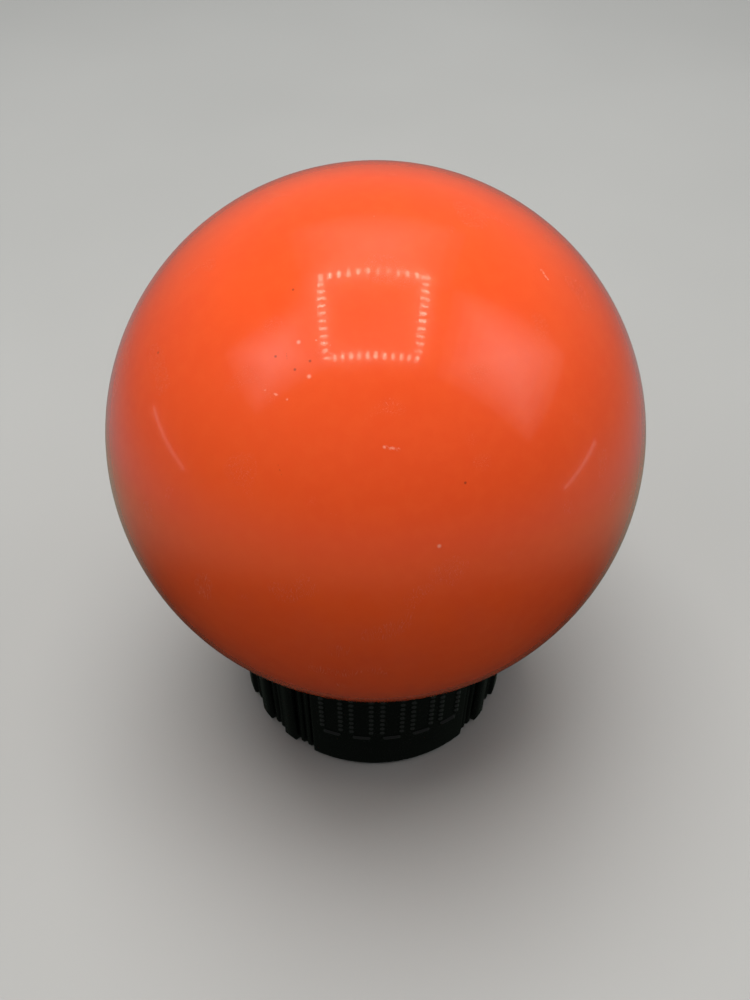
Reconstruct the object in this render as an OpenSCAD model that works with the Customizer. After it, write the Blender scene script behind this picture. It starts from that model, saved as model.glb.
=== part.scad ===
// Friction ball for screw-down watch case backs, resting in its ribbed bench stand.
// Millimetres, +Z up. The origin is on the bench, on the stand's axis. The ball's valve
// points along +Y and the stand's panel faces a little to the right of -Y.

/* [Ball] */
// Outer diameter of the ball
ball_d = 65; // [60:1:70]
// Thickness of the rubber skin
skin_t = 5; // [4:0.5:7]

/* [Valve] */
// Diameter of the valve insert where it fills its hole in the skin
insert_d = 9; // [8:0.5:11]
// Depth that the insert reaches into the ball, measured from the ball's surface
insert_depth = 17; // [16:1:20]
// Diameter of the flange that is bonded to the inside of the skin
flange_d = 22; // [16:1:26]
// Diameter of the push-in plug's stem
plug_d = 4.6; // [4:0.2:5]
// Length of the plug
plug_l = 13; // [11:0.5:14]
// Diameter of the plug's pilot hole for an inflating needle
needle_d = 1.8; // [1.6:0.1:2.2]

/* [Stand] */
// Diameter over the stand's broad lands
stand_d = 41; // [38:1:44]
// Height of the stand
stand_h = 22; // [19:1:26]
// Thickness of the stand's wall behind its grooves
wall_t = 2.2; // [1.8:0.2:2.6]
// Thickness of the stand's floor
floor_t = 2.4; // [2:0.2:3]
// Number of broad lands round the stand
land_count = 24; // [20:1:28]
// Number of fine ribs between two lands
fine_count = 2; // [1:1:3]
// Number of lands that the plain front panel takes the place of
panel_lands = 5; // [5:2:9]
// Number of raised marks on the front panel
mark_count = 5; // [1:1:5]

/* [Hidden] */
$fn = 96;

ball_r = ball_d / 2;
cavity_r = ball_r - skin_t;

// The seat is a narrow zone of a sphere that the ball clears by seat_gap all round.
seat_gap = 0.15;
stand_r = stand_d / 2;
groove_depth = 0.9;
fine_drop = 0.45;
core_r = stand_r - groove_depth;
cup_r = core_r - wall_t;
rim_t = 0.8;
mouth_r = core_r - rim_t;
seat_r = ball_r + seat_gap;
ball_z = stand_h + sqrt(seat_r * seat_r - mouth_r * mouth_r);

// Fine ribs and grooves share what the lands leave of each pitch, in parts of a groove's width.
land_pitch = 360 / land_count;
land_share = 0.44;
land_angle = land_share * land_pitch;
rib_to_groove = 1.8;
groove_angle = (land_pitch - land_angle) / (fine_count + 1 + fine_count * rib_to_groove);
fine_angle = rib_to_groove * groove_angle;

// The panel is as wide as the lands it replaces, with the ribs between them filled in.
panel_half = (panel_lands - 1) / 2;
panel_angle = 2 * panel_half * land_pitch + land_angle;
panel_turn = land_pitch / 2;

// The lands and ribs stop just short of both edges of the stand.
edge_margin = 0.25;
rib_chamfer = 0.3;
chamfer = 0.4;

// The foot is a flat ring round a shallow recess.
recess_r = cup_r - 1.2;
recess_depth = 0.8;
gate_d = 3;
gate_h = 0.4;
floor_chamfer = 1.5;

// Each mark is two upright strokes over a short level one. Offsets are degrees round the wall.
mark_pitch = 0.8 * land_pitch;
mark_h = 0.35;
mark_bottom = 0.36 * stand_h;
mark_top = 0.86 * stand_h;
stroke_t = 0.8;
stroke_offset = 0.32 * mark_pitch;
level_angle = 0.45 * mark_pitch;
stroke_gap = 0.6;

// Valve sizes; depths are measured inwards from the ball's surface.
flange_t = 1.6;
fit_gap = 0.05;
head_d = 6.4;
head_t = 0.9;
head_depth = 0.35;
tip_clear = 0.6;
needle_depth = 9;
over = 1;

// A solid of revolution whose axis is the valve's: its own +Z points out of the ball.
module along_valve() {
    translate([0, 0, ball_z]) rotate([-90, 0, 0]) children();
}

// A cylinder on the valve's axis between two depths below the ball's surface.
module valve_cylinder(d, top_depth, bottom_depth) {
    translate([0, 0, ball_r - bottom_depth]) cylinder(d = d, h = bottom_depth - top_depth);
}

module ball_skin() {
    color("orangered") along_valve() difference() {
        sphere(r = ball_r);
        sphere(r = cavity_r);
        valve_cylinder(insert_d, -over, skin_t + over);
    }
}

// A barrel with a round closed end, flush with the skin outside and flanged inside it.
module valve_insert() {
    end_r = insert_d / 2;
    color("tomato") along_valve() difference() {
        union() {
            intersection() {
                sphere(r = ball_r);
                valve_cylinder(insert_d, -over, insert_depth - end_r);
            }
            translate([0, 0, ball_r - insert_depth + end_r]) sphere(r = end_r);
            intersection() {
                sphere(r = cavity_r);
                valve_cylinder(flange_d, 0, skin_t + 2 * flange_t);
                difference() {
                    cylinder(d = flange_d, h = ball_r);
                    sphere(r = cavity_r - flange_t);
                }
            }
        }
        valve_cylinder(head_d + 2 * fit_gap, -over, head_depth + head_t);
        valve_cylinder(plug_d + 2 * fit_gap, -over, head_depth + plug_l + tip_clear);
    }
}

// A headed stem with a blind pilot hole, which the needle pierces to reach the air inside.
module valve_plug() {
    tip_chamfer = 0.8;
    color("dimgray") along_valve() difference() {
        union() {
            valve_cylinder(head_d, head_depth, head_depth + head_t - fit_gap);
            valve_cylinder(plug_d, head_depth, head_depth + plug_l - tip_chamfer);
            translate([0, 0, ball_r - head_depth - plug_l])
                cylinder(d1 = plug_d - 2 * tip_chamfer, d2 = plug_d, h = tip_chamfer);
        }
        valve_cylinder(needle_d, -over, head_depth + needle_depth);
    }
}

// One upright bar as wide as angle that is rooted in the wall and stands out to radius r.
module upright(angle, r) {
    root_r = core_r - wall_t / 2;
    bottom = edge_margin;
    top = stand_h - edge_margin;
    rotate(-angle / 2) rotate_extrude(angle = angle)
        polygon([
            [root_r, bottom],
            [r - rib_chamfer, bottom],
            [r, bottom + rib_chamfer],
            [r, top - rib_chamfer],
            [r - rib_chamfer, top],
            [root_r, top]
        ]);
}

// A raised stroke on a wall that faces -Y, offset sideways, between two heights.
module stroke(offset, angle, bottom, top) {
    inner_r = stand_r - mark_h;
    rotate(offset - angle / 2 - 90) rotate_extrude(angle = angle)
        translate([inner_r, bottom]) square([2 * mark_h, top - bottom]);
}

module raised_mark() {
    stroke_angle = stroke_t / stand_r * 180 / PI;
    for (side = [-1, 1])
        stroke(side * stroke_offset, stroke_angle, mark_bottom + stroke_t + stroke_gap, mark_top);
    stroke(0, level_angle, mark_bottom, mark_bottom + stroke_t);
}

// The ribs on the +angle side of a land.
module fine_ribs() {
    for (k = [1 : fine_count])
        rotate(land_angle / 2 + k * (groove_angle + fine_angle) - fine_angle / 2)
            upright(fine_angle, stand_r - fine_drop);
}

module front_panel() {
    rotate(-90) upright(panel_angle, stand_r);
    for (i = [0 : mark_count - 1]) rotate((i - (mark_count - 1) / 2) * mark_pitch)
        raised_mark();
}

module cup_profile() {
    inner_low = floor_t + floor_chamfer;
    polygon([
        [0, recess_depth],
        [recess_r, recess_depth],
        [recess_r, 0],
        [core_r - chamfer, 0],
        [core_r, chamfer],
        [core_r, stand_h - chamfer],
        [core_r - chamfer, stand_h],
        [cup_r, stand_h],
        [cup_r, inner_low],
        [cup_r - floor_chamfer, floor_t],
        [0, floor_t]
    ]);
}

module stand_body() {
    color("black") difference() {
        union() {
            rotate_extrude() cup_profile();
            translate([0, 0, recess_depth - gate_h]) cylinder(d = gate_d, h = gate_h + over);
            rotate(panel_turn) front_panel();
            for (i = [panel_half : land_count - panel_half - 1])
                rotate(panel_turn + i * land_pitch - 90) {
                    if (i > panel_half) upright(land_angle, stand_r);
                    fine_ribs();
                }
        }
        translate([0, 0, ball_z]) sphere(r = seat_r);
    }
}

ball_skin();
valve_insert();
valve_plug();
stand_body();
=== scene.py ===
"""Looks of the case opening friction ball and its bench stand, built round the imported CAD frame."""

import math

import bpy
import numpy as np
from mathutils import Matrix, Vector, noise


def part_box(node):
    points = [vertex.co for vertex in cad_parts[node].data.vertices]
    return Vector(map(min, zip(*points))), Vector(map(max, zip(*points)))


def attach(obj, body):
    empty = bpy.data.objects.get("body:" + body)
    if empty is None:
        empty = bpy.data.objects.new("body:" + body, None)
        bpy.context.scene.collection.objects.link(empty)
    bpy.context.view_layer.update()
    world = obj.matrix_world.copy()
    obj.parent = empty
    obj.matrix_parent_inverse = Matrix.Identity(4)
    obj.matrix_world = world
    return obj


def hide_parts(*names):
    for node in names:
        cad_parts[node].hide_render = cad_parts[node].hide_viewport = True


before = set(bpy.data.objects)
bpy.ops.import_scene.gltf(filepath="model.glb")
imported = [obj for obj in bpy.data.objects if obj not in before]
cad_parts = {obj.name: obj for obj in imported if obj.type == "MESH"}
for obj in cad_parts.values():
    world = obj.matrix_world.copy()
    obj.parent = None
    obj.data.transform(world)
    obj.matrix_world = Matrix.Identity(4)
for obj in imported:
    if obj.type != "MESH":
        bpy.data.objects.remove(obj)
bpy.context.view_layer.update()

MM = 0.001

# ---------------------------------------------------------------- sizes from the frame

SKIN_LOW, SKIN_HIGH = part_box("ball_skin")
STAND_LOW, STAND_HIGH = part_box("stand_body")

BALL_R = (SKIN_HIGH.x - SKIN_LOW.x) / 2
BALL_Z = (SKIN_HIGH.z + SKIN_LOW.z) / 2
BALL_CENTRE = Vector((0, 0, BALL_Z))
STAND_H = STAND_HIGH.z - STAND_LOW.z

# The rest repeats the design's own values: first the ball and its valve.
SKIN_T = 5 * MM
INSERT_R = 4.5 * MM
INSERT_DEPTH = 17 * MM
FLANGE_R = 11 * MM
FLANGE_T = 1.6 * MM
FIT_GAP = 0.05 * MM
HEAD_R = 3.2 * MM
HEAD_T = 0.9 * MM
HEAD_DEPTH = 0.35 * MM
STEM_R = 2.3 * MM
PLUG_L = 13 * MM
TIP_CHAMFER = 0.8 * MM
TIP_CLEAR = 0.6 * MM
NEEDLE_R = 0.9 * MM
NEEDLE_DEPTH = 9 * MM

# The stand's wall, cup and foot.
STAND_R = 20.5 * MM
LAND_RISE = 0.9 * MM
FINE_RISE = 0.45 * MM
WALL_T = 2.2 * MM
RIM_T = 0.8 * MM
CORE_R = STAND_R - LAND_RISE
CUP_R = CORE_R - WALL_T
MOUTH_R = CORE_R - RIM_T
RECESS_R = CUP_R - 1.2 * MM
RECESS_DEPTH = 0.8 * MM
GATE_R = 1.5 * MM
GATE_H = 0.4 * MM
FLOOR_T = 2.4 * MM
FLOOR_CHAMFER = 1.5 * MM
CHAMFER = 0.4 * MM
SEAT_GAP = 0.15 * MM

# The stand's lands and ribs, as angles round its axis.
LAND_COUNT = 24
LAND_PITCH = 2 * math.pi / LAND_COUNT
LAND_SHARE = 0.44
LAND_HALF = LAND_SHARE * LAND_PITCH / 2
FINE_COUNT = 2
RIB_TO_GROOVE = 1.8
GROOVE = (1 - LAND_SHARE) * LAND_PITCH / (FINE_COUNT + 1 + FINE_COUNT * RIB_TO_GROOVE)
FINE_HALF = RIB_TO_GROOVE * GROOVE / 2
PANEL_LANDS = 5
PANEL_TURN = LAND_PITCH / 2

# The raised marks on the stand's panel.
MARK_COUNT = 5
MARK_PITCH = 0.8 * LAND_PITCH
MARK_BOTTOM = 0.36 * STAND_H
MARK_TOP = 0.86 * STAND_H
STROKE_OFFSET = 0.32 * MARK_PITCH
STROKE_T = 0.8 * MM
STROKE_GAP = 0.6 * MM
LEVEL_HALF = 0.225 * MARK_PITCH


# ---------------------------------------------------------------- mesh helpers

def make_piece(name, verts, faces, body, material, node):
    """A smooth-shaded mesh that stands for a CAD node and rides on its body."""
    mesh = bpy.data.meshes.new(name)
    mesh.from_pydata(verts, [], faces)
    mesh.validate()
    mesh.polygons.foreach_set("use_smooth", [True] * len(mesh.polygons))
    mesh.materials.append(material)
    piece = bpy.data.objects.new(name, mesh)
    bpy.context.scene.collection.objects.link(piece)
    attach(piece, body)
    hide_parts(node)


def rounded(points, radius, steps):
    """The outline points with each inner corner turned into a curve of about that radius."""
    most = 0.45  # of each of the two edges that the curve may take
    out = [points[0]]
    for before, corner, after in zip(points, points[1:], points[2:]):
        a, b, c = Vector(before), Vector(corner), Vector(after)
        reach = min(radius, (a - b).length * most, (c - b).length * most)
        start = b + (a - b).normalized() * reach
        end = b + (c - b).normalized() * reach
        for i in range(steps + 1):
            t = i / steps
            p = start * (1 - t) ** 2 + b * (2 * t * (1 - t)) + end * t ** 2
            out.append((p.x, p.y))
    out.append(points[-1])
    return out


def arc(radius, start, end, steps, centre=0.0):
    """Points (distance from the axis, height) on a circle about the axis, by angle from +height."""
    out = []
    for i in range(steps + 1):
        a = start + (end - start) * i / steps
        out.append((radius * math.sin(a), centre + radius * math.cos(a)))
    return out


def skin_grid(rings):
    """Vertices and faces from rings of equal length, or of one point at a pole."""
    verts, faces, starts = [], [], []
    for ring in rings:
        starts.append(len(verts))
        verts += ring
    for i in range(len(rings) - 1):
        low, high = starts[i], starts[i + 1]
        n_low, n_high = len(rings[i]), len(rings[i + 1])
        n = max(n_low, n_high)
        for j in range(n):
            k = (j + 1) % n
            if n_low == 1:
                faces.append((low, high + k, high + j))
            elif n_high == 1:
                faces.append((low + j, low + k, high))
            else:
                faces.append((low + j, low + k, high + k, high + j))
    return verts, faces


def turned(profile, segments):
    """Rings of a solid of revolution about the valve's axis, along +Y from the ball's centre."""
    on_axis = 0.0001 * MM
    rings = []
    for r, h in profile:
        if r < on_axis:
            rings.append([(0.0, h, BALL_Z)])
            continue
        ring = []
        for j in range(segments):
            a = 2 * math.pi * j / segments
            ring.append((r * math.sin(a), h, BALL_Z + r * math.cos(a)))
        rings.append(ring)
    return rings


# ---------------------------------------------------------------- node helpers

def srgb(r, g, b):
    """A display colour in 0 to 255 as a linear RGBA."""
    def linear(v):
        v /= 255
        return v / 12.92 if v <= 0.04045 else ((v + 0.055) / 1.055) ** 2.4
    return (linear(r), linear(g), linear(b), 1.0)


class Nodes:
    """Short names for the shader nodes that the materials use."""

    def __init__(self, name):
        self.material = bpy.data.materials.new(name)
        self.material.use_nodes = True
        self.tree = self.material.node_tree
        self.shader = self.tree.nodes["Principled BSDF"]
        self.place = self.new("ShaderNodeTexCoord").outputs["Object"]

    def new(self, kind, **settings):
        node = self.tree.nodes.new(kind)
        for key, value in settings.items():
            setattr(node, key, value)
        return node

    def put(self, socket, value):
        """Links an output to the socket, or sets a plain value on it."""
        if isinstance(value, bpy.types.NodeSocket):
            self.tree.links.new(value, socket)
        else:
            socket.default_value = value

    def set_shader(self, values):
        """Sets inputs of the surface shader by name, each to a plain value or an output."""
        for name, value in values.items():
            self.put(self.shader.inputs[name], value)

    def math(self, operation, a, b=0.0, clamp=False):
        node = self.new("ShaderNodeMath", operation=operation, use_clamp=clamp)
        self.put(node.inputs[0], a)
        self.put(node.inputs[1], b)
        return node.outputs[0]

    def noise(self, scale, detail, where=None, roughness=0.5):
        """Noise from 0 to 1, with scale cells per metre."""
        node = self.new("ShaderNodeTexNoise")
        self.put(node.inputs["Vector"], where or self.place)
        node.inputs["Scale"].default_value = scale
        node.inputs["Detail"].default_value = detail
        node.inputs["Roughness"].default_value = roughness
        return node.outputs["Fac"]

    def ramp(self, value, low, high, to_low=0.0, to_high=1.0):
        """A soft step from to_low to to_high, as value goes from low to high."""
        node = self.new("ShaderNodeMapRange", interpolation_type="SMOOTHSTEP")
        for key, v in zip(("Value", "From Min", "From Max", "To Min", "To Max"),
                          (value, low, high, to_low, to_high)):
            self.put(node.inputs[key], v)
        return node.outputs["Result"]

    def mix(self, factor, a, b):
        node = self.new("ShaderNodeMix", data_type="RGBA")
        self.put(node.inputs["Factor"], factor)
        self.put(node.inputs["A"], a)
        self.put(node.inputs["B"], b)
        return node.outputs["Result"]

    def stretched(self, turn, stretch, shift=(0, 0, 0)):
        """The object's own coordinates, turned by degrees, scaled and shifted."""
        node = self.new("ShaderNodeMapping")
        self.put(node.inputs["Vector"], self.place)
        node.inputs["Rotation"].default_value = [math.radians(a) for a in turn]
        node.inputs["Scale"].default_value = stretch
        node.inputs["Location"].default_value = shift
        return node.outputs["Vector"]

    def specks(self, cell, size, share, shift=(0, 0, 0)):
        """1 inside small dots in a share of the cells; cell and size are in metres."""
        place = self.stretched((0, 0, 0), (1, 1, 1), shift)
        node = self.new("ShaderNodeTexVoronoi")
        self.put(node.inputs["Vector"], place)
        node.inputs["Scale"].default_value = 1 / cell
        limit = size / 2 / cell
        solid = 0.6  # of the dot's radius, before it fades
        dot = self.ramp(node.outputs["Distance"], limit * solid, limit, 1.0, 0.0)
        split = self.new("ShaderNodeSeparateColor")
        self.put(split.inputs["Color"], node.outputs["Color"])
        chosen = self.math("GREATER_THAN", split.outputs["Red"], 1 - share)
        return self.math("MULTIPLY", dot, chosen)

    def hairlines(self, turn, width, share, shift=(0, 0, 0)):
        """1 along sparse fine scratches about as wide as width, in metres, in a share of patches."""
        drawn_out = 0.035  # the noise's scale along the scratches, against 1 across them
        half_band = 0.035  # how far from its middle value the noise still makes a scratch
        waves = 0.35  # of the noise in one scratch's width
        patches = 160  # per metre
        patch_edge = 0.08
        drawn = self.stretched(turn, (1, 1, drawn_out), shift)
        fine = self.noise(waves / width, detail=0.0, where=drawn)
        band = self.math("ABSOLUTE", self.math("SUBTRACT", fine, 0.5))
        line = self.ramp(band, 0.0, half_band, 1.0, 0.0)
        patch = self.noise(patches, detail=1.0, where=self.stretched((0, 0, 0), (1, 1, 1), shift))
        return self.math("MULTIPLY", line, self.ramp(patch, 1 - share, 1 + patch_edge - share))

    def largest(self, values):
        result = values[0]
        for value in values[1:]:
            result = self.math("MAXIMUM", result, value)
        return result

    def vector(self, operation, a, b):
        node = self.new("ShaderNodeVectorMath", operation=operation)
        self.put(node.inputs[0], a)
        self.put(node.inputs["Scale" if operation == "SCALE" else 1], b)
        return node.outputs["Value" if operation in ("DISTANCE", "DOT_PRODUCT") else "Vector"]

    def line(self, start, end, width):
        """1 along the straight line between two points, falling to 0 at half of width from it."""
        step = end - start
        along = self.vector("DOT_PRODUCT", self.vector("SUBTRACT", self.place, start), step)
        along = self.ramp(along, 0.0, step.length_squared)
        foot = self.vector("ADD", self.vector("SCALE", tuple(step), along), start)
        reach = self.vector("DISTANCE", self.place, foot)
        return self.ramp(reach, 0.0, width / 2, 1.0, 0.0)

    def near(self, centre, radius):
        """1 at a point, falling to 0 at radius metres from it."""
        return self.ramp(self.vector("DISTANCE", self.place, centre), 0.0, radius, 1.0, 0.0)

    def bump(self, height, distance, strength, normal=None):
        node = self.new("ShaderNodeBump")
        node.inputs["Strength"].default_value = strength
        node.inputs["Distance"].default_value = distance
        self.put(node.inputs["Height"], height)
        if normal is not None:
            self.put(node.inputs["Normal"], normal)
        return node.outputs["Normal"]


# ---------------------------------------------------------------- materials

def on_ball(elevation, azimuth):
    """A point on the ball's surface: azimuth 0 faces -Y, and positive turns towards +X."""
    e, a = math.radians(elevation), math.radians(azimuth)
    return BALL_CENTRE + BALL_R * Vector(
        (math.cos(e) * math.sin(a), -math.cos(e) * math.cos(a), math.sin(e))
    )


# Marks of use on the ball, as (elevation, azimuth) in degrees; a scuff's third value is its width in mm.
DARK_SPECKS = [(55, -30), (56, -19.5), (54, -23), (42, -65.5), (36, 18.5), (66.5, -37.5)]
DARK_NICKS = [((56.1, -27.2), (55.3, -26.4)), ((38.3, -20.6), (36.9, -19.5))]
PALE_SPECKS = [(58.5, -25), (1.5, -63), (26, 12), (53.5, -18.5)]
SCRATCHES = [
    ((33.1, -8), (30.8, -7)),
    ((33.1, -8), (31.1, -9)),
    ((22.8, -46.8), (23.5, -45)),
    ((18.3, -49.4), (17.5, -47.9)),
    ((30.2, 71.2), (27.8, 66.2)),
]
SCUFFS = [
    ((58.5, 76.5), (57, 74.5), 0.55),
    ((43.5, 2), (43, 5), 0.5),
    ((49.3, -29), (49, -22.5), 0.35),
    ((59.6, -19.7), (59.3, -14.8), 0.3),
]


def ball_scratches(n):
    """Masks for broken scuffs, for single scratches, and for the fine hairlines all over the ball."""
    scratch_w = 0.11 * MM
    broken = n.ramp(n.noise(3200, detail=3.0), 0.42, 0.6)
    scuffed = n.largest([n.line(on_ball(*a), on_ball(*b), w * MM) for a, b, w in SCUFFS])
    scuffed = n.math("MULTIPLY", scuffed, broken)
    cut = n.largest([n.line(on_ball(*a), on_ball(*b), scratch_w) for a, b in SCRATCHES])
    one_way = n.hairlines(turn=(20, 70, 0), width=0.06 * MM, share=0.36)
    other_way = n.hairlines(turn=(-60, 15, 40), width=0.05 * MM, share=0.34, shift=(3, 1, 2))
    return scuffed, cut, n.math("MAXIMUM", one_way, other_way)


def ball_specks(n):
    """Masks for pale dust and for dark dirt: the photo's own specks and nicks, and small ones elsewhere."""
    pale_r = 0.3 * MM
    dark_r = 0.2 * MM
    nick_w = 0.16 * MM
    pale = [n.near(on_ball(*p), pale_r) for p in PALE_SPECKS]
    dust = n.specks(cell=3.4 * MM, size=0.14 * MM, share=0.2, shift=(0.5, 0.2, 0.9))
    pale.append(n.math("MULTIPLY", dust, 0.6))
    dark = [n.near(on_ball(*p), dark_r) for p in DARK_SPECKS]
    dark += [n.line(on_ball(*a), on_ball(*b), nick_w) for a, b in DARK_NICKS]
    dirt = n.specks(cell=7.5 * MM, size=0.24 * MM, share=0.13)
    dark.append(n.math("MULTIPLY", dirt, 0.8))
    return n.largest(pale), n.largest(dark)


def ball_rubber():
    """Polished soft rubber: orange-red, with a skin of fine handling marks."""
    n = Nodes("ball_rubber")
    orange = srgb(239, 83, 26)
    deep_orange = srgb(234, 77, 23)
    light_orange = srgb(243, 92, 34)
    dust_colour = srgb(250, 176, 150)
    dirt_colour = srgb(80, 24, 12)
    scuffed, cut, worn = ball_scratches(n)
    pale_dust, dark_dirt = ball_specks(n)

    cloudy = n.ramp(n.noise(48, detail=3.0), 0.3, 0.7)
    mottled = n.ramp(n.noise(700, detail=2.0), 0.35, 0.75, 0.0, 0.22)
    colour = n.mix(mottled, n.mix(cloudy, orange, deep_orange), light_orange)
    strengths = [(scuffed, 0.7), (pale_dust, 0.75), (cut, 0.42), (worn, 0.1)]
    pale = n.largest([n.math("MULTIPLY", mask, strength) for mask, strength in strengths])
    colour = n.mix(pale, colour, dust_colour)
    colour = n.mix(n.math("MULTIPLY", dark_dirt, 0.85), colour, dirt_colour)

    polished = n.ramp(n.noise(220, detail=4.0), 0.3, 0.7, 0.17, 0.24)
    roughened = n.math("MULTIPLY", n.largest([scuffed, cut, worn]), 0.3)
    scratched = n.largest([cut, worn])
    grain = n.math("MULTIPLY", n.noise(4200, detail=1.0), 0.4)
    relief = n.math("SUBTRACT", n.largest([dark_dirt, pale_dust]), scratched)
    waves = n.math("MULTIPLY", n.noise(1900, detail=1.0), 0.6)
    n.set_shader({
        "Base Color": colour,
        "Roughness": n.math("ADD", polished, roughened),
        "Subsurface Weight": 0.1,
        "Subsurface Radius": (1.0, 0.32, 0.12),
        "Subsurface Scale": 1.6 * MM,
        "IOR": 1.45,
        "Specular IOR Level": 0.4,
        "Coat Weight": 0.8,
        "Coat Roughness": 0.07,
        "Coat IOR": 1.45,
        "Normal": n.bump(n.math("ADD", grain, relief), 0.02 * MM, 0.5),
        "Coat Normal": n.bump(n.math("SUBTRACT", waves, scratched), 0.006 * MM, 0.5),
    })
    return n.material


def stand_plastic():
    """Glossy black moulded plastic with a faint mould texture, fine scratches, dust and grit."""
    n = Nodes("stand_plastic")
    black = srgb(2, 3, 3)
    paler_black = srgb(5, 6, 6)
    dust_colour = srgb(110, 108, 100)
    dust = n.math("MULTIPLY", n.ramp(n.noise(1500, detail=5.0, roughness=0.7), 0.62, 0.8), 0.05)
    grit = n.specks(cell=1.7 * MM, size=0.12 * MM, share=0.2, shift=(0.1, 0.7, 0.4))
    scratched = n.hairlines(turn=(75, 10, 30), width=0.06 * MM, share=0.36)

    colour = n.mix(n.ramp(n.noise(260, detail=4.0), 0.3, 0.7), black, paler_black)
    colour = n.mix(n.largest([dust, n.math("MULTIPLY", grit, 0.25)]), colour, dust_colour)
    rough = n.ramp(n.noise(420, detail=5.0), 0.3, 0.7, 0.18, 0.30)
    rough = n.math("ADD", rough, n.math("MULTIPLY", scratched, 0.2))
    rough = n.math("ADD", rough, n.math("MULTIPLY", dust, 2.0), clamp=True)
    texture = n.bump(n.noise(5200, detail=3.0), 0.012 * MM, 0.3)
    sink = n.bump(n.noise(170, detail=1.0), 0.08 * MM, 0.3, texture)
    n.set_shader({
        "Base Color": colour,
        "Roughness": rough,
        "IOR": 1.49,
        "Specular IOR Level": 0.45,
        "Normal": n.bump(n.math("ADD", grit, scratched), 0.012 * MM, 0.5, sink),
    })
    return n.material


def valve_rubber(name, dark, light, grit_share):
    """Matt soft rubber with a fine powdery bloom, for the valve's own pieces."""
    n = Nodes(name)
    powder = srgb(214, 196, 180)
    bloom = n.ramp(n.noise(900, detail=4.0), 0.4, 0.75)
    grit = n.specks(cell=0.8 * MM, size=0.1 * MM, share=grit_share)
    n.set_shader({
        "Base Color": n.mix(n.math("MULTIPLY", grit, 0.4), n.mix(bloom, dark, light), powder),
        "Roughness": n.ramp(n.noise(1400, detail=3.0), 0.3, 0.7, 0.45, 0.62),
        "IOR": 1.5,
        "Normal": n.bump(n.noise(6500, detail=3.0), 0.03 * MM, 0.5),
    })
    return n.material


# ---------------------------------------------------------------- the ball

def ball_skin_rings():
    """The hollow skin, open at the valve with a rounded lip; its outside ripples very slightly."""
    ripple = 0.012 * MM
    ripples = 55  # per metre
    outer_r = BALL_R - 0.03 * MM
    inner_r = BALL_R - SKIN_T
    hole_r = INSERT_R + 0.02 * MM
    lip = 0.25 * MM
    outer = arc(outer_r, math.pi, math.asin((hole_r + lip) / outer_r), steps=220)
    inner = arc(inner_r, math.asin((hole_r + lip) / inner_r), math.pi, steps=72)
    top = math.sqrt(outer_r ** 2 - hole_r ** 2)
    bottom = math.sqrt(inner_r ** 2 - hole_r ** 2)
    wall = rounded([outer[-1], (hole_r, top), (hole_r, bottom), inner[0]], lip, steps=5)
    rings = turned(outer + wall[1:-1] + inner, segments=240)
    soft_rings = []
    for ring in rings:
        moved = []
        for p in ring:
            q = Vector(p) - BALL_CENTRE
            if q.length > inner_r + SKIN_T / 2:
                q -= q.normalized() * ripple * (1 + noise.noise(q * ripples))
            moved.append(tuple(BALL_CENTRE + q))
        soft_rings.append(moved)
    return soft_rings


def add_ball(material):
    verts, faces = skin_grid(ball_skin_rings())
    make_piece("rubber_ball", verts, faces, "ball", material, "ball_skin")


def add_valve_insert(material):
    """The flanged barrel bonded into the skin, with a countersunk seat for the plug's head."""
    below_skin = 0.05 * MM
    lip = 0.18 * MM
    face_h = math.sqrt(BALL_R ** 2 - INSERT_R ** 2) - below_skin
    crown_h = math.sqrt(BALL_R ** 2 - HEAD_R ** 2) - below_skin
    seat_h = BALL_R - HEAD_DEPTH - HEAD_T
    bore_end = BALL_R - HEAD_DEPTH - PLUG_L - TIP_CLEAR
    end_centre = BALL_R - INSERT_DEPTH + INSERT_R
    bore_r = STEM_R + FIT_GAP
    head_r = HEAD_R + FIT_GAP
    top_r = BALL_R - SKIN_T
    low_r = top_r - FLANGE_T
    neck_h = math.sqrt(top_r ** 2 - INSERT_R ** 2)
    brim = math.asin(FLANGE_R / top_r)
    flange_top = arc(top_r, math.asin(INSERT_R / top_r), brim, steps=14)
    flange_low = arc(low_r, brim, math.asin(INSERT_R / low_r), steps=14)
    end = arc(INSERT_R, math.pi / 2, math.pi, steps=14, centre=end_centre)
    mouth = rounded([
        (bore_r, seat_h),
        (head_r, seat_h),
        (head_r, crown_h),
        (INSERT_R, face_h),
        (INSERT_R, neck_h),
    ], lip, steps=4)
    profile = [(0, bore_end), (bore_r, bore_end)] + mouth + flange_top[1:] + flange_low + end
    verts, faces = skin_grid(turned(profile[::-1], segments=128))
    make_piece("valve_housing", verts, faces, "ball", material, "valve_insert")


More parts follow.
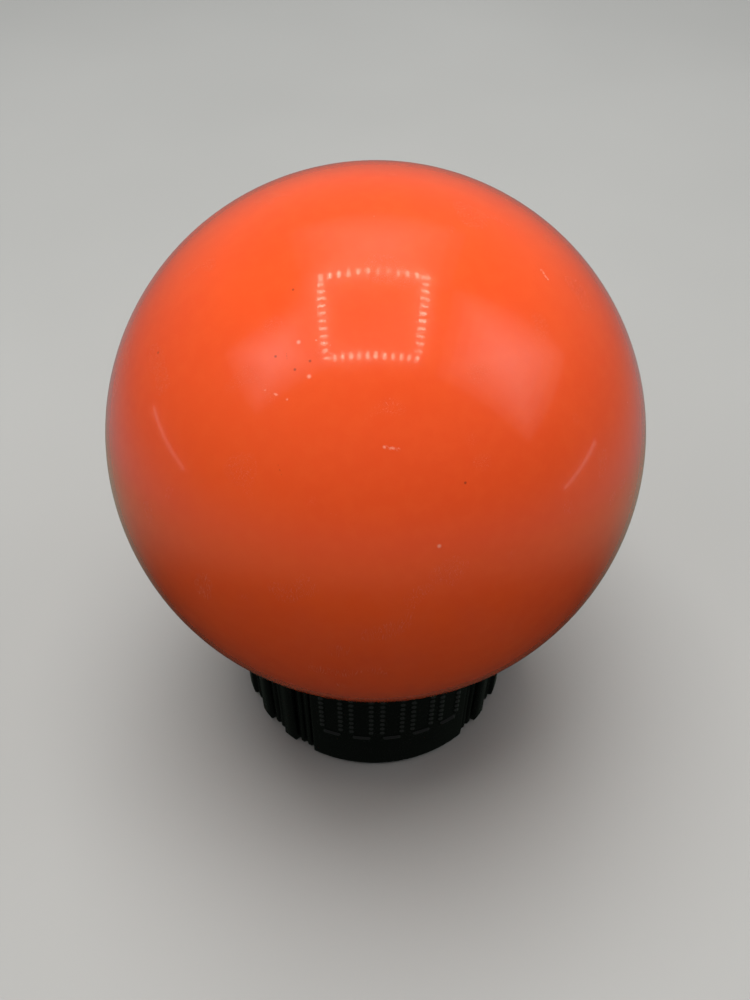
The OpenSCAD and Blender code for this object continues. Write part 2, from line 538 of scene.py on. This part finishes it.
def add_valve_plug(material):
    """The push-in plug: a thin head, a raised ring round the needle hole, and a stem."""
    face_h = BALL_R - HEAD_DEPTH - 0.02 * MM
    head_low = face_h - HEAD_T + 0.08 * MM
    tip = BALL_R - HEAD_DEPTH - PLUG_L
    hole_end = face_h - NEEDLE_DEPTH
    dish_depth = 0.16 * MM
    dish_r = 2.35 * MM
    dish_floor_r = 2.0 * MM
    ring_foot_r = 1.5 * MM
    ring_r = 1.35 * MM
    lead_in_r = NEEDLE_R + 0.15 * MM
    lead_in = 0.3 * MM
    edge_round = 0.14 * MM
    profile = rounded([
        (0.0, tip),
        (STEM_R - TIP_CHAMFER, tip),
        (STEM_R, tip + TIP_CHAMFER),
        (STEM_R, head_low),
        (HEAD_R, head_low),
        (HEAD_R, face_h),
        (dish_r, face_h),
        (dish_floor_r, face_h - dish_depth),
        (ring_foot_r, face_h - dish_depth),
        (ring_r, face_h),
        (lead_in_r, face_h),
        (NEEDLE_R, face_h - lead_in),
        (NEEDLE_R, hole_end),
        (0.0, hole_end - lead_in),
    ], edge_round, steps=4)
    verts, faces = skin_grid(turned(profile, segments=96))
    make_piece("valve_stopper", verts, faces, "plug", material, "valve_plug")


# ---------------------------------------------------------------- the stand

FINE_PITCH = GROOVE + 2 * FINE_HALF
FINE_CENTRES = [LAND_HALF + k * FINE_PITCH - FINE_HALF for k in range(1, FINE_COUNT + 1)]
PANEL_HALF = (PANEL_LANDS - 1) / 2 * LAND_PITCH + LAND_HALF
# Half the width of the soft edge of a land or rib.
EDGE = math.radians(0.42)
MARK_RISE = 0.33 * MM
BEAD_R = 0.5 * MM
BEAD_COUNT = 8
BEAD_BOTTOM = MARK_BOTTOM + STROKE_T + STROKE_GAP + BEAD_R
BEAD_PITCH = (MARK_TOP - BEAD_R - BEAD_BOTTOM) / (BEAD_COUNT - 1)
# Where the lines of vertices cross a bead or a bar, as shares of its radius.
DOME_LINES = (-1, -0.75, -0.4, 0, 0.4, 0.75, 1)
# A line of vertices this far outside a mark keeps the wall beside it flat.
MARK_GUARD = 0.1 * MM
# The wall runs from this far above the bench to this far below the rim.
WALL_END = 0.3 * MM
# The ribs' ends step out of the wall over this height, and then curve outwards.
END_STEP = 0.05 * MM
RIB_ROUND = 0.35 * MM
# Lines of vertices closer than this angle are one line.
SAME_TURN = 6e-4


def smooth(t):
    """0 below 0, 1 above 1, and a soft step between them."""
    t = min(1.0, max(0.0, t))
    return t * t * (3 - 2 * t)


def edge_step(reach, half):
    """1 inside half of a rib's middle, 0 outside it, with a soft edge."""
    return smooth((half + EDGE - reach) / (2 * EDGE))


def wall_rise(turn):
    """How far the wall stands out of its core, by the angle from the middle of the panel."""
    rise = LAND_RISE * edge_step(abs(turn), PANEL_HALF)
    a = turn - round(turn / LAND_PITCH) * LAND_PITCH
    rise = max(rise, LAND_RISE * edge_step(abs(a), LAND_HALF))
    for centre in FINE_CENTRES:
        for side in (-1, 1):
            rise = max(rise, FINE_RISE * edge_step(abs(a - side * centre), FINE_HALF))
    return rise


def dome(reach):
    """The height of a bead or a rounded bar, from 1 on its middle to 0 at reach 1."""
    bluntness = 0.7  # 0.5 makes a half sphere
    return max(0.0, 1 - reach * reach) ** bluntness


def mark_rise(turn, z):
    """The raised marks on the panel: each is two upright rows of low beads over a level bar."""
    i = min(MARK_COUNT // 2, max(-(MARK_COUNT // 2), round(turn / MARK_PITCH)))
    a = turn - i * MARK_PITCH
    nearest = min(BEAD_COUNT - 1, max(0, round((z - BEAD_BOTTOM) / BEAD_PITCH)))
    across = (abs(a) - STROKE_OFFSET) * STAND_R
    bead = dome(math.hypot(across, z - BEAD_BOTTOM - nearest * BEAD_PITCH) / BEAD_R)
    past_end = max(0.0, (abs(a) - LEVEL_HALF) * STAND_R)
    bar = dome(math.hypot(past_end, z - MARK_BOTTOM - STROKE_T / 2) / (STROKE_T / 2))
    return MARK_RISE * max(bead, bar)


def stand_turns():
    """Angles of the upright lines of vertices: close together at each edge and across the marks."""
    level_lines = (0, 0.35, 0.7)  # as shares of half a bar's length
    lines_by_panel_edge = (3, 6)  # as multiples of EDGE
    edges = [-PANEL_HALF, PANEL_HALF]
    panel_lands = (PANEL_LANDS - 1) // 2
    for i in range(panel_lands, LAND_COUNT - panel_lands):
        middle = i * LAND_PITCH
        for centre in FINE_CENTRES:
            edges += [middle + centre - FINE_HALF, middle + centre + FINE_HALF]
        if i > panel_lands:
            edges += [middle - LAND_HALF, middle + LAND_HALF]
    turns = [edge + EDGE * k / 2 for edge in edges for k in range(-2, 3)]
    turns += [i * LAND_PITCH for i in range(panel_lands + 1, LAND_COUNT - panel_lands)]
    for side in (-1, 1):
        turns += [side * (PANEL_HALF - EDGE * k) for k in lines_by_panel_edge]
        for i in range(-(MARK_COUNT // 2), MARK_COUNT // 2 + 1):
            middle = i * MARK_PITCH + side * STROKE_OFFSET
            turns += [middle + share * BEAD_R / STAND_R for share in DOME_LINES]
            turns += [middle + end * (BEAD_R + MARK_GUARD) / STAND_R for end in (-1, 1)]
            turns += [i * MARK_PITCH + side * share * LEVEL_HALF for share in level_lines]
    kept = []
    for turn in sorted(t % (2 * math.pi) for t in turns):
        if not kept or turn - kept[-1] > SAME_TURN:
            kept.append(turn)
    return [t if t < math.pi else t - 2 * math.pi for t in kept]


def wall_heights():
    """Heights of the rows of the outer wall: close together at its ends and where the marks are."""
    round_rows = 5
    round_pitch = 0.08 * MM
    plain_rows = 4
    ends = [WALL_END, WALL_END + END_STEP]
    ends += [WALL_END + k * round_pitch for k in range(1, round_rows + 1)]
    heights = list(ends)
    heights += [ends[-1] + (MARK_BOTTOM - ends[-1]) * k / plain_rows for k in range(1, plain_rows)]
    heights += [MARK_BOTTOM + STROKE_T / 2 * (1 + share) for share in DOME_LINES]
    for k in range(BEAD_COUNT):
        heights += [BEAD_BOTTOM + k * BEAD_PITCH + share * BEAD_R for share in DOME_LINES]
    heights += [MARK_BOTTOM - MARK_GUARD, MARK_BOTTOM + STROKE_T + MARK_GUARD]
    heights += [BEAD_BOTTOM - BEAD_R - MARK_GUARD, MARK_TOP + MARK_GUARD, (MARK_TOP + STAND_H) / 2]
    heights += [STAND_H - z for z in ends]
    return sorted(heights)


def underside_outline():
    """From the middle of the underside, with its gate mark, over the foot ring to the wall."""
    gate_low = RECESS_DEPTH - GATE_H
    gate_dimple = 0.15 * MM
    foot_round = 0.3 * MM
    return rounded([
        (0, gate_low + gate_dimple),
        (GATE_R / 2, gate_low),
        (GATE_R, gate_low),
        (GATE_R, RECESS_DEPTH),
        (RECESS_R, RECESS_DEPTH),
        (RECESS_R, 0),
        (CORE_R - CHAMFER, 0),
        (CORE_R, WALL_END),
    ], foot_round, steps=3)


def inside_outline():
    """From the top of the wall over the rim, down the ball's seat, to the middle of the cup."""
    seat_r = BALL_R + SEAT_GAP
    seat_steps = 5
    rim_round = 0.22 * MM
    cup_round = 0.7 * MM
    seat = []
    for k in range(seat_steps + 1):
        r = MOUTH_R + (CUP_R - MOUTH_R) * k / seat_steps
        seat.append((r, BALL_Z - math.sqrt(seat_r ** 2 - r ** 2)))
    rim = rounded([
        (CORE_R, STAND_H - WALL_END),
        (CORE_R - CHAMFER, STAND_H),
        (MOUTH_R, STAND_H),
        seat[1],
    ], rim_round, steps=3)
    cup = rounded([
        seat[-2],
        seat[-1],
        (CUP_R, FLOOR_T + FLOOR_CHAMFER),
        (CUP_R - FLOOR_CHAMFER, FLOOR_T),
        (0, FLOOR_T),
    ], cup_round, steps=3)
    return rim[1:] + seat[2:-2] + cup


def stand_rings():
    """All the stand's rings, from the middle of its underside, up the wall, and down into the cup."""
    turns = stand_turns()
    angles = PANEL_TURN + np.array(turns)
    rises = np.array([wall_rise(t) for t in turns])
    across, forward = np.sin(angles), -np.cos(angles)

    def ring(radii, z):
        radii = np.broadcast_to(radii, angles.shape)
        return [(float(x), float(y), z) for x, y in zip(radii * across, radii * forward)]

    under = underside_outline()
    rings = [[(0.0, 0.0, under[0][1])]]
    rings += [ring(r, z) for r, z in under[1:-1]]
    for z in wall_heights():
        from_end = min(z, STAND_H - z) - WALL_END
        step = min(1.0, from_end / END_STEP) * np.maximum(0.0, rises - RIB_ROUND)
        corner = 1 - min(1.0, from_end / RIB_ROUND)
        reach = step + math.sqrt(1 - corner ** 2) * np.minimum(rises, RIB_ROUND)
        marks = np.array([mark_rise(t, z) if abs(t) < PANEL_HALF else 0.0 for t in turns])
        rings.append(ring(CORE_R + reach + marks, z))

    rings += [ring(r, z) for r, z in inside_outline()[:-1]]
    rings.append([(0.0, 0.0, FLOOR_T)])
    return rings


def add_stand(material):
    verts, faces = skin_grid(stand_rings())
    make_piece("ribbed_stand", verts, faces, "stand", material, "stand_body")


# ---------------------------------------------------------------- floor, light and camera

def add_floor():
    """A pale floor, which isn't mirrored in the ball and the stand."""
    n = Nodes("pale_floor")
    tone = n.ramp(n.noise(6, detail=3.0), 0.3, 0.7)
    n.set_shader({
        "Base Color": n.mix(tone, srgb(172, 173, 171), srgb(178, 179, 177)),
        "Roughness": 0.6,
    })
    mesh = bpy.data.meshes.new("floor")
    half = 6.0
    mesh.from_pydata([(-half, -half, 0), (half, -half, 0), (half, half, 0), (-half, half, 0)], [],
                     [(0, 1, 2, 3)])
    mesh.materials.append(n.material)
    floor = bpy.data.objects.new("floor", mesh)
    floor.visible_glossy = False
    bpy.context.scene.collection.objects.link(floor)


def add_area_light(name, place, size_x, size_y, power, colour=(1, 1, 1), shows=True):
    """A lamp aimed at the ball, which the camera doesn't see; shows says whether pieces mirror it."""
    light = bpy.data.lights.new(name, "AREA")
    light.shape = "RECTANGLE"
    light.size, light.size_y = size_x, size_y
    light.energy = power
    light.color = colour
    lamp = bpy.data.objects.new(name, light)
    lamp.location = place
    lamp.rotation_mode = "QUATERNION"
    lamp.rotation_quaternion = (BALL_CENTRE - Vector(place)).to_track_quat("-Z", "Y")
    lamp.visible_camera = False
    lamp.visible_glossy = shows
    bpy.context.scene.collection.objects.link(lamp)
    return lamp


def add_ring_light():
    """A square ring of small lamps above the ball, which mirrors in it as a dashed square."""
    centre = Vector((-0.0077, 0.0037, 0.35))
    half = 0.0911
    tilt = Matrix.Rotation(math.radians(-5.5), 3, "X")
    turn = Matrix.Rotation(math.radians(-0.6), 3, "Z")
    per_side = 11
    lamp_long = 0.014
    lamp_short = 0.0045
    warm_white = (1.0, 0.88, 0.72)
    facing_down = (1, 0, 0, 0)
    for side in range(4):
        quarter = Matrix.Rotation(side * math.pi / 2, 3, "Z")
        for i in range(per_side):
            along = half * (2 * i / per_side - 1)
            place = centre + turn @ tilt @ quarter @ Vector((along, half, 0))
            size_x, size_y = (lamp_short, lamp_long) if side % 2 == 0 else (lamp_long, lamp_short)
            lamp = add_area_light(f"ring_lamp_{side}_{i}", place, size_x, size_y, power=0.0035,
                                  colour=warm_white)
            lamp.rotation_quaternion = facing_down


def add_soft_panel(name, place, size_x, size_y, power):
    """A panel that fades out towards its edges: several panels, each a little behind a smaller one."""
    layers = 5
    layer_gap = 0.002  # as a share of the panel's distance from the ball
    for i in range(layers):
        share = (i + 1) / layers
        back = Vector(place) + (Vector(place) - BALL_CENTRE) * layer_gap * i
        add_area_light(f"{name}_{i}", back, size_x * share, size_y * share,
                       power * share ** 2 / layers)


def add_world():
    """A dim room that is brightest in a soft band, which is tipped down a little at the back."""
    band_axis = (0, 0.33, 0.94)
    # From straight down the axis, 0, to straight up it, 1: each place and its level of light.
    stops = [(0.0, 0.02), (0.15, 0.02), (0.28, 0.23), (0.34, 0.23), (0.5, 0.14), (0.75, 0.2)]
    # Up to this place the light has a trace of the green sheet that the photo has there.
    green_to = 0.3
    green_tint = 0.8
    world = bpy.data.worlds.new("studio")
    world.use_nodes = True
    tree = world.node_tree
    direction = tree.nodes.new("ShaderNodeTexCoord")
    height = tree.nodes.new("ShaderNodeVectorMath")
    height.operation = "DOT_PRODUCT"
    tree.links.new(direction.outputs["Generated"], height.inputs[0])
    height.inputs[1].default_value = band_axis
    share = tree.nodes.new("ShaderNodeMapRange")
    share.inputs["From Min"].default_value = -1
    tree.links.new(height.outputs["Value"], share.inputs["Value"])
    band = tree.nodes.new("ShaderNodeValToRGB")
    band.color_ramp.interpolation = "EASE"
    ramp_stops = band.color_ramp.elements
    ready = len(ramp_stops)  # stops that a new ramp already has
    for k, (place, level) in enumerate(stops):
        stop = ramp_stops[k] if k < ready else ramp_stops.new(place)
        stop.position = place
        tint = green_tint if place < green_to else 1.0
        stop.color = (level * tint, level, level * tint, 1)
    tree.links.new(share.outputs["Result"], band.inputs["Fac"])
    tree.links.new(band.outputs["Color"], tree.nodes["Background"].inputs["Color"])
    bpy.context.scene.world = world


def add_lights():
    add_ring_light()
    add_area_light("soft_top", (-0.03, 0.06, 0.6), size_x=0.4, size_y=0.4, power=3.3, shows=False)
    add_soft_panel("back_panel", (0, 0.36, 0.6), size_x=0.6, size_y=0.4, power=0.6)
    add_soft_panel("left_panel", (-0.36, -0.08, 0.53), size_x=0.3, size_y=0.36, power=0.5)
    add_soft_panel("right_panel", (0.44, -0.03, 0.46), size_x=0.42, size_y=0.5, power=0.95)
    add_area_light("left_strip", (-0.5, -0.02, 0.047), size_x=0.22, size_y=0.012, power=0.007)
    add_area_light("right_strip", (0.5, -0.062, 0.014), size_x=0.18, size_y=0.012, power=0.006)


def add_camera():
    """Looks down at the ball, which sits a little above the middle of the picture."""
    pitch = math.radians(49)
    above_axis = math.radians(3.83)
    roll = math.radians(0.5)
    distance = 3.655 * BALL_R
    down = pitch - above_axis
    camera = bpy.data.cameras.new("camera")
    camera.lens = 34.2
    camera.sensor_width = 36
    camera.clip_start = 0.01
    view = bpy.data.objects.new("camera", camera)
    view.location = BALL_CENTRE + distance * Vector((0, -math.cos(down), math.sin(down)))
    view.rotation_mode = "QUATERNION"
    view.rotation_quaternion = (Matrix.Rotation(math.pi / 2 - pitch, 3, "X")
                                @ Matrix.Rotation(roll, 3, "Z")).to_quaternion()
    bpy.context.scene.collection.objects.link(view)
    bpy.context.scene.camera = view


# ---------------------------------------------------------------- the scene

add_camera()
add_world()
add_lights()
add_floor()
add_ball(ball_rubber())
add_valve_insert(valve_rubber("insert_rubber", srgb(196, 56, 22), srgb(214, 84, 44), grit_share=0.1))
add_valve_plug(valve_rubber("plug_rubber", srgb(24, 24, 25), srgb(44, 43, 42), grit_share=0.2))
add_stand(stand_plastic())
bpy.context.scene.view_settings.view_transform = "Standard"
